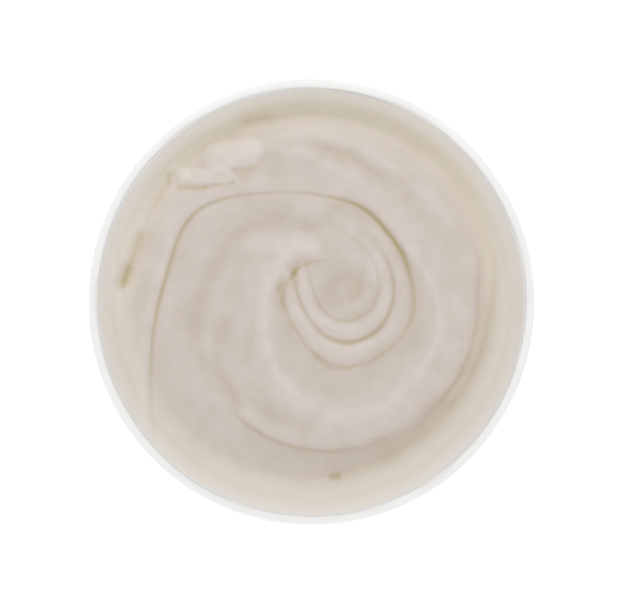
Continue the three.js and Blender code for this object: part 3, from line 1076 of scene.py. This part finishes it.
@dataclass
class Paste:
    """The paste: spokes and rings round the swirl's centre, closed by its side in the wall and its bottom.

    Sizes are in millimetres. The level is that of the swirl's centre: a bowl rises round it, and near the
    wall the paste rises again and goes over into a thin film. A look is how far away a point's surroundings
    are read and the depth that counts as one, and a share is how much of a look or relief shows as colour.
    """

    tub: TubSizes = field(default_factory=TubSizes)
    finish: GarlicPaste = field(default_factory=GarlicPaste)
    level: float = 38.4
    bowl_depth: float = 2.2
    bowl_inner: float = 1.6
    bowl_outer: float = 11.0
    wall_rise: float = 4.5
    rise_start: float = 46.0
    rise_reach: float = 9.5
    rise_power: float = 1.8
    film_rise: float = 4.3
    film_start: float = 51.8
    film_reach: float = 4.0
    waver: float = 0.05
    slow_waves: int = 3
    fast_waves: int = 8
    into_wall: float = 0.6
    spokes: int = 420
    rings: int = 205
    # the paler colour towards the wall, partly painted light; pale_cover takes the painted shade out there
    pale_start: float = 41.0
    pale_reach: float = 14.4
    pale_power: float = 1.5
    pale_cover: float = 0.8
    crease_look: Point = (1.1, 1.4)
    crease_shade_share: float = 0.9
    valley_look: Point = (4.0, 2.8)
    valley_shade_share: float = 0.35
    oil_and_shade_share: float = 0.11
    broad_look: Point = (9.0, 3.0)
    # shares of the painted highlight on ridges and raised marks
    highlight_base: float = 0.2
    highlight_valley_share: float = 0.1
    highlight_broad_share: float = 0.4
    laid_on_highlight_share: float = 0.35
    still_from: float = 53.0
    still_reach: float = 1.5
    side_depth: float = 5.0
    edge_rounds: int = 6
    crest_softening: int = 26
    crease_softening: int = 6
    clot_size: float = 9.0
    clot_height: float = 0.6
    streak_width: float = 3.2
    streak_height: float = 0.35
    calm_radius: float = 9.0
    seed: float = 3.0

    def heights(self, x: np.ndarray, y: np.ndarray) -> np.ndarray:
        """Finds the height of the paste's surface above the base, with the film that climbs on up the wall.

        Args:
            x: The points' first coordinate in millimetres.
            y: The points' second coordinate.

        Returns:
            The heights in millimetres.
        """
        from_swirl = np.hypot(x - SWIRL_CENTRE[0], y - SWIRL_CENTRE[1])
        from_axis = np.hypot(x, y)
        up_bowl = smooth_step((from_swirl - self.bowl_inner) / (self.bowl_outer - self.bowl_inner))
        bowl = self.bowl_depth * up_bowl
        turned = np.arctan2(y, x)
        uneven = 1 + self.waver * (np.sin(self.slow_waves * turned + 1) + np.sin(self.fast_waves * turned))
        rise = self.wall_rise * clamp01((from_axis - self.rise_start) / self.rise_reach) ** self.rise_power
        up_film = clamp01((from_axis - self.film_start) / self.film_reach) ** self.rise_power
        film = self.film_rise * uneven * up_film
        total = self.level + bowl + rise + film
        for shape in (*FOLDS, *TROUGHS, *MARKS):
            total = total + shape.heights(x, y)
        return total

    def reach_to_circle(self, radius: float, direction: np.ndarray) -> float:
        """Measures from the swirl's centre to a circle round the tub's axis.

        Args:
            radius: The circle's radius in millimetres.
            direction: Where to look, as a vector of length one.

        Returns:
            The distance in millimetres.
        """
        along = float(np.dot(SWIRL_CENTRE, direction))
        apart = SWIRL_CENTRE[0] ** 2 + SWIRL_CENTRE[1] ** 2 - radius**2
        return -along + math.sqrt(along * along - apart)

    def grid(self) -> tuple[np.ndarray, list]:
        """Lays out the whole closed surface.

        Returns:
            Its vertices in millimetres and its faces.
        """
        angles = 2 * math.pi * np.arange(self.spokes) / self.spokes
        tops, sides = [], []
        bottom = self.tub.floor_height - self.into_wall
        corner_top = self.tub.floor_height + self.tub.inner_corner
        low_radius = self.tub.wall_inside(corner_top) + self.into_wall
        for angle in angles:
            direction = np.array([math.cos(angle), math.sin(angle)])
            reach = self.reach_to_circle(self.tub.wall_inside(self.level), direction)
            for _ in range(self.edge_rounds):
                edge = np.array(SWIRL_CENTRE) + reach * direction
                height = self.heights(edge[:1], edge[1:])[0]
                reach = self.reach_to_circle(self.tub.wall_inside(height) + self.into_wall, direction)
            reaches = reach * np.arange(1, self.rings + 1) / self.rings
            tops.append(np.array(SWIRL_CENTRE) + reaches[:, None] * direction)
            outward = tops[-1][-1] / np.linalg.norm(tops[-1][-1])
            sides.append(
                [
                    (*(outward * low_radius), corner_top),
                    (*(outward * (low_radius - self.tub.inner_corner)), bottom),
                ]
            )
        top = np.array(tops)
        flat = top.reshape(-1, 2)
        high = self.heights(flat[:, 0], flat[:, 1]).reshape(self.spokes, self.rings, 1)
        columns = np.concatenate([np.concatenate([top, high], axis=2), np.array(sides)], axis=1)
        centre = np.array([[*SWIRL_CENTRE, self.heights(*np.array(SWIRL_CENTRE).reshape(2, 1))[0]]])
        vertices = np.concatenate([centre, columns.reshape(-1, 3), [[0.0, 0.0, bottom]]])
        return vertices, self.faces(columns)

    def faces(self, columns: np.ndarray) -> list:
        """Joins the spokes' columns into faces, each split along its flatter diagonal.

        Args:
            columns: Positions by spoke and level.

        Returns:
            Triangles as vertex numbers.
        """
        spokes, levels, _ = columns.shape
        s = np.arange(spokes)
        following = (s + 1) % spokes
        level = np.arange(levels - 1)
        inner = 1 + s[:, None] * levels + level
        after = 1 + following[:, None] * levels + level
        high = columns[:, :, 2]
        across = np.abs(high[:, :-1] - high[following][:, 1:]) < np.abs(high[:, 1:] - high[following][:, :-1])
        first = np.where(across[..., None], np.stack([inner, inner + 1, after + 1], -1),
                         np.stack([inner, inner + 1, after], -1))
        second = np.where(across[..., None], np.stack([inner, after + 1, after], -1),
                          np.stack([inner + 1, after + 1, after], -1))
        middle = np.stack([np.zeros(spokes, int), 1 + s * levels, 1 + following * levels], -1)
        underside = 1 + spokes * levels
        below = np.stack([(s + 1) * levels, np.full(spokes, underside), (following + 1) * levels], -1)
        return np.concatenate([first.reshape(-1, 3), second.reshape(-1, 3), middle, below]).tolist()

    def hollowness(self, vertices: np.ndarray, reach: float, depth: float) -> np.ndarray:
        """Measures how far each point lies below what surrounds it.

        Args:
            vertices: Positions in millimetres.
            reach: How far away the surroundings are read.
            depth: The depth that counts as one.

        Returns:
            A value for each vertex: one deep in a crease, zero on a plain surface, and below it on a ridge.
        """
        x, y = vertices[:, 0], vertices[:, 1]
        around = np.zeros(len(vertices))
        angles = np.linspace(0, 2 * math.pi, 8, endpoint=False)
        for angle in angles:
            around += self.heights(x + reach * math.cos(angle), y + reach * math.sin(angle)) / len(angles)
        return (around - self.heights(x, y)) / depth

    def surface_values(self, vertices: np.ndarray) -> dict[str, np.ndarray]:
        """Works out what the material and the uneven surface read at each point.

        Args:
            vertices: Positions in millimetres.

        Returns:
            By attribute: how much painted shade with the oil's yellow, how much painted highlight on ridges
                and raised
            marks, how pale towards the wall as thin paste and painted light, and how free to be uneven.
        """
        x, y = vertices[:, 0], vertices[:, 1]
        from_axis = np.hypot(x, y)
        crease = self.hollowness(vertices, *self.crease_look)
        valley = self.hollowness(vertices, *self.valley_look)
        broad = self.hollowness(vertices, *self.broad_look)
        # depth of the wall trough and of the dents, painted darker and yellower: painted shade with the oil's
        # yellow
        oil = -sum(low.heights(x, y) for low in (TROUGHS[0], *(mark for mark in MARKS if mark.height < 0)))
        laid_on = sum(mark.heights(x, y) for mark in MARKS if mark.height > 0)
        # paler towards the wall: thin paste over white plastic and painted light through the wall
        pale_and_painted_light = clamp01((from_axis - self.pale_start) / self.pale_reach) ** self.pale_power
        # painted shade in creases and valleys
        shaded = clamp01(self.crease_shade_share * clamp01(crease) + self.valley_shade_share * clamp01(valley))
        # painted highlight: ridges and raised marks lighter and pinker
        crest = self.highlight_base - self.highlight_valley_share * valley - self.highlight_broad_share * broad
        on_top = vertices[:, 2] > self.level - self.side_depth
        return {
            # painted shade, mostly taken out near the wall, and dents darker with the oil's yellow
            "hollow": shaded * (1 - self.pale_cover * pale_and_painted_light) + self.oil_and_shade_share * oil,
            "crest": clamp01(crest + self.laid_on_highlight_share * laid_on),
            "film": pale_and_painted_light,
            "free": on_top * (1 - smooth_step((from_axis - self.still_from) / self.still_reach)),
        }

    def surface_tree(self) -> tuple[bpy.types.NodeTree, dict[str, str]]:
        """Builds the tree that gives the paste its soft unevenness.

        Returns:
            The tree, and the identifiers of its inputs by name.
        """
        kinds = {
            "Swirl Centre": "Vector",
            "Crest Softening": "Int",
            "Crease Softening": "Int",
            "Clot Size": "Float",
            "Clot Height": "Float",
            "Streak Width": "Float",
            "Streak Height": "Float",
            "Calm Radius": "Float",
            "Seed": "Float",
            "Material": "Material",
        }
        tree, names = new_tree("uneven paste", kinds)
        given = add_node(tree, "NodeGroupInput").outputs
        here = add_node(tree, "GeometryNodeInputPosition").outputs[0]
        height = add_node(tree, "ShaderNodeSeparateXYZ", {0: here}).outputs["Z"]
        eased = []
        for name, keep in (("Crest Softening", "MINIMUM"), ("Crease Softening", "MAXIMUM")):
            soft = add_node(
                tree,
                "GeometryNodeBlurAttribute",
                {"Value": height, "Iterations": given[name]},
                data_type="FLOAT",
            ).outputs["Value"]
            moved = add_node(tree, "ShaderNodeMath", {0: soft, 1: height}, operation="SUBTRACT").outputs[0]
            eased.append(add_node(tree, "ShaderNodeMath", {0: moved, 1: 0.0}, operation=keep).outputs[0])
        from_centre = add_node(
            tree, "ShaderNodeVectorMath", {0: here, 1: given["Swirl Centre"]}, operation="SUBTRACT"
        ).outputs[0]
        flat = add_node(
            tree, "ShaderNodeVectorMath", {0: from_centre, 1: (1.0, 1.0, 0.0)}, operation="MULTIPLY"
        ).outputs[0]
        radius = add_node(tree, "ShaderNodeVectorMath", {0: flat}, operation="LENGTH").outputs["Value"]
        heading = add_node(tree, "ShaderNodeVectorMath", {0: flat}, operation="NORMALIZE").outputs[0]
        lane = add_node(
            tree, "ShaderNodeMath", {0: radius, 1: given["Streak Width"]}, operation="DIVIDE"
        ).outputs[0]
        lanes = add_node(tree, "ShaderNodeCombineXYZ", {"Z": lane}).outputs[0]
        stirred = add_node(tree, "ShaderNodeVectorMath", {0: heading, 1: lanes}, operation="ADD").outputs[0]
        streaks = add_node(
            tree,
            "ShaderNodeTexNoise",
            {"Vector": stirred, "W": given["Seed"], "Scale": 1.0, "Detail": 2.0},
            noise_dimensions="4D",
        ).outputs["Fac"]
        calm = add_node(
            tree, "ShaderNodeMath", {0: radius, 1: given["Calm Radius"]}, operation="DIVIDE", use_clamp=True
        ).outputs[0]
        streak_height = add_node(
            tree, "ShaderNodeMath", {0: given["Streak Height"], 1: calm}, operation="MULTIPLY"
        ).outputs[0]
        scale = add_node(
            tree, "ShaderNodeMath", {0: 1.0, 1: given["Clot Size"]}, operation="DIVIDE"
        ).outputs[0]
        clots = add_node(
            tree,
            "ShaderNodeTexNoise",
            {"Vector": here, "W": given["Seed"], "Scale": scale, "Detail": 2.0, "Roughness": 0.4},
            noise_dimensions="4D",
        ).outputs["Fac"]
        change = add_node(tree, "ShaderNodeMath", {0: eased[0], 1: eased[1]}, operation="ADD").outputs[0]
        for noise, amount in ((streaks, streak_height), (clots, given["Clot Height"])):
            centred = add_node(tree, "ShaderNodeMath", {0: noise, 1: 0.5}, operation="SUBTRACT").outputs[0]
            change = add_node(
                tree, "ShaderNodeMath", {0: centred, 1: amount, 2: change}, operation="MULTIPLY_ADD"
            ).outputs[0]
        free = add_node(
            tree, "GeometryNodeInputNamedAttribute", {"Name": "free"}, data_type="FLOAT"
        ).outputs["Attribute"]
        lift = add_node(tree, "ShaderNodeMath", {0: change, 1: free}, operation="MULTIPLY").outputs[0]
        offset = add_node(tree, "ShaderNodeCombineXYZ", {"Z": lift}).outputs[0]
        uneven = add_node(
            tree, "GeometryNodeSetPosition", {"Geometry": given["Geometry"], "Offset": offset}
        ).outputs[0]
        smooth = add_node(tree, "GeometryNodeSetShadeSmooth", {"Geometry": uneven}).outputs[0]
        end_tree(tree, smooth, given["Material"])
        return tree, names

    def build(self) -> bpy.types.Object:
        """Returns:
            The paste.
        """
        vertices, faces = self.grid()
        raw = new_object("paste surface", vertices, [], faces)
        for name, shares in self.surface_values(vertices).items():
            attribute = raw.data.attributes.new(name, "FLOAT", "POINT")
            attribute.data.foreach_set("value", shares.astype(np.float32))
        tree, names = self.surface_tree()
        values = {
            "Swirl Centre": (SWIRL_CENTRE[0] * MM, SWIRL_CENTRE[1] * MM, 0.0),
            "Crest Softening": self.crest_softening,
            "Crease Softening": self.crease_softening,
            "Clot Size": self.clot_size * MM,
            "Clot Height": self.clot_height * MM,
            "Streak Width": self.streak_width * MM,
            "Streak Height": self.streak_height * MM,
            "Calm Radius": self.calm_radius * MM,
            "Seed": self.seed,
            "Material": self.finish.material("smooth garlic paste"),
        }
        paste = run_tree(raw, tree, names, values, "stirred_paste")
        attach(paste, "root")
        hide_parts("paste")
        return paste


@dataclass(frozen=True)
class Smear:
    """A smear of paste over the inner edge of the rim, from one angle round to another, in degrees."""

    start: float
    sweep: float
    seed: float


SMEARS = (
    Smear(50.0, 23.0, 1.0),
    Smear(7.0, 10.0, 2.0),
    Smear(-62.0, 16.0, 3.0),
    Smear(-76.0, 7.0, 4.0),
    Smear(246.0, 9.0, 5.0),
    Smear(118.0, 20.0, 6.0),
    Smear(172.0, 14.0, 7.0),
)


@dataclass
class RimSmears:
    """Smears of paste that reach over the rounded inner edge of the rim, as one piece."""

    tub: TubSizes = field(default_factory=TubSizes)
    finish: GarlicPaste = GarlicPaste(colour="#f6f2ee", crest="#f9f6f3", scatter=0.0)
    thickness: float = 0.16
    low: float = 47.6
    anchor_drop: float = 1.0
    anchor_out: float = 0.1
    ragged_drop: float = 0.9
    ragged_height: float = 0.3
    ragged_count: float = 22.0
    segments: int = 60
    skin_end: float = 116.0
    skin_steps: int = 5
    buried_end: float = 112.0
    buried_steps: int = 3

    def outline(self) -> list[Point]:
        """Draws a smear's section, which hugs the rim's inner rounding.

        Returns:
            Its points, as a closed loop.
        """
        s = self.tub
        lip = s.height - s.rim_rounding
        centre = s.wall_inside(lip) + s.rim_rounding * s.stretch
        wall = 180 - s.wall_slope
        over, under = s.rim_rounding + self.thickness, s.rim_rounding - self.thickness
        skin = corner(centre, lip, over, wall, self.skin_end, self.skin_steps)
        buried = corner(centre, lip, under, self.buried_end, wall, self.buried_steps)
        foot = [
            (s.wall_inside(self.low) + self.thickness, self.low),
            (s.wall_inside(self.low) - self.thickness / 2, self.low),
        ]
        return [*foot, *skin, *buried, foot[0]]

    def build(self) -> bpy.types.Object:
        """Returns:
            The smears as one piece.
        """
        s = self.tub
        material = self.finish.material("thin smear of garlic paste")
        middle = s.height - self.anchor_drop
        parts = []
        for smear in SMEARS:
            turn = Turn(
                segments=self.segments,
                start=smear.start,
                sweep=smear.sweep,
                anchor=(s.wall_inside(middle) + self.anchor_out, middle),
                taper=1.0,
                uneven_above=s.height - self.ragged_drop,
                uneven_height=self.ragged_height,
                uneven_count=self.ragged_count,
                seed=smear.seed,
            )
            parts.append(turned_piece("rim smear", self.outline(), turn, material))
        with bpy.context.temp_override(active_object=parts[0], selected_editable_objects=parts):
            bpy.ops.object.join()
        piece = parts[0]
        piece.name = piece.data.name = "rim_smears"
        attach(piece, "root")
        return piece


@dataclass(frozen=True)
class SoftLight:
    """A large round lamp, aimed at the tub.

    Attributes:
        name: Its name.
        strength: What it gives a surface that faces it, where one is a white that just fills the picture.
        size: Its diameter in metres.
        distance: How far away it stands, in metres.
        tilt: Degrees from straight above.
        side: Direction in which it stands, in degrees round the tub, zero being the photograph's right.
    """

    name: str
    strength: float
    size: float
    distance: float
    tilt: float
    side: float


LAMPS = (
    SoftLight("key", 0.475, 1.3, 1.6, 26.0, 90.0),
    SoftLight("lower fill", 0.27, 0.9, 1.6, 66.0, -90.0),
    SoftLight("left fill", 0.1, 0.9, 1.6, 66.0, 170.0),
    SoftLight("right fill", 0.1, 0.9, 1.6, 66.0, 10.0),
)


@dataclass
class Studio:
    """The white table, the soft lights and the camera above."""

    photo_width: float = 640.0
    photo_height: float = 599.0
    tub_centre_px: Point = (311.5, 302.0)
    rim_radius_px: float = 223.5
    rim_radius: float = 58.5
    rim_height: float = 50.0
    lens: float = 150.0
    sensor: float = 36.0
    sky: float = 0.38
    table_half: float = 3000.0
    table_glow: float = 0.4

    def camera(self) -> None:
        """Stands the camera straight above, so that the rim lies where the photograph has it."""
        mm_per_px = self.rim_radius / self.rim_radius_px
        frame_width = self.photo_width * mm_per_px
        distance = frame_width * self.lens / self.sensor
        data = bpy.data.cameras.new("camera")
        data.lens = self.lens
        data.sensor_width = self.sensor
        data.clip_start = 0.01
        data.clip_end = 20
        camera = bpy.data.objects.new("camera", data)
        right = (self.photo_width / 2 - self.tub_centre_px[0]) * mm_per_px
        up = (self.tub_centre_px[1] - self.photo_height / 2) * mm_per_px
        camera.location = (right * MM, up * MM, (self.rim_height + distance) * MM)
        bpy.context.scene.collection.objects.link(camera)
        bpy.context.scene.camera = camera

    def floor(self) -> None:
        """Lays a white table that glows a little, as paper on a light table does."""
        half = self.table_half
        corners = np.array([(-half, -half, 0), (half, -half, 0), (half, half, 0), (-half, half, 0)])
        table = new_object("table", corners, [], [(0, 1, 2, 3)])
        made = bpy.data.materials.new("white table")
        made.use_nodes = True
        shader = made.node_tree.nodes["Principled BSDF"]
        shader.inputs["Base Color"].default_value = srgb("#f7f7f7")
        shader.inputs["Roughness"].default_value = 0.9
        shader.inputs["Specular IOR Level"].default_value = 0.1
        shader.inputs["Emission Color"].default_value = (1, 1, 1, 1)
        shader.inputs["Emission Strength"].default_value = self.table_glow
        table.data.materials.append(made)

    def sky_light(self) -> None:
        """Surrounds the tub with an even white sky."""
        world = bpy.data.worlds.new("soft sky")
        world.use_nodes = True
        background = world.node_tree.nodes["Background"]
        background.inputs["Color"].default_value = (1, 1, 1, 1)
        background.inputs["Strength"].default_value = self.sky
        bpy.context.scene.world = world

    def lamp(self, given: SoftLight) -> None:
        """Hangs a large soft lamp.

        Args:
            given: Its place and strength.
        """
        data = bpy.data.lights.new(given.name, "AREA")
        data.shape = "DISK"
        data.size = given.size
        data.energy = given.strength * math.pi**2 * given.distance**2
        light = bpy.data.objects.new(given.name, data)
        light.visible_camera = False
        tilt, side = math.radians(given.tilt), math.radians(given.side)
        away = given.distance * math.sin(tilt)
        light.location = (away * math.cos(side), away * math.sin(side), given.distance * math.cos(tilt))
        light.rotation_euler = (tilt, 0.0, side + math.pi / 2)
        bpy.context.scene.collection.objects.link(light)

    def build(self) -> None:
        """Sets the stage."""
        self.camera()
        self.floor()
        self.sky_light()
        for given in LAMPS:
            self.lamp(given)
        bpy.context.scene.view_settings.view_transform = "Standard"


def main() -> None:
    """Builds the stage and the pieces in order."""
    logging.basicConfig(level=logging.INFO, format="%(name)s: %(message)s")
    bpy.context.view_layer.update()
    Studio().build()
    for maker in (Tub(), Paste(), RimSmears()):
        piece = maker.build()
        log.info("%s has %d faces", piece.name, len(piece.data.polygons))


if __name__ == "__main__":
    main()
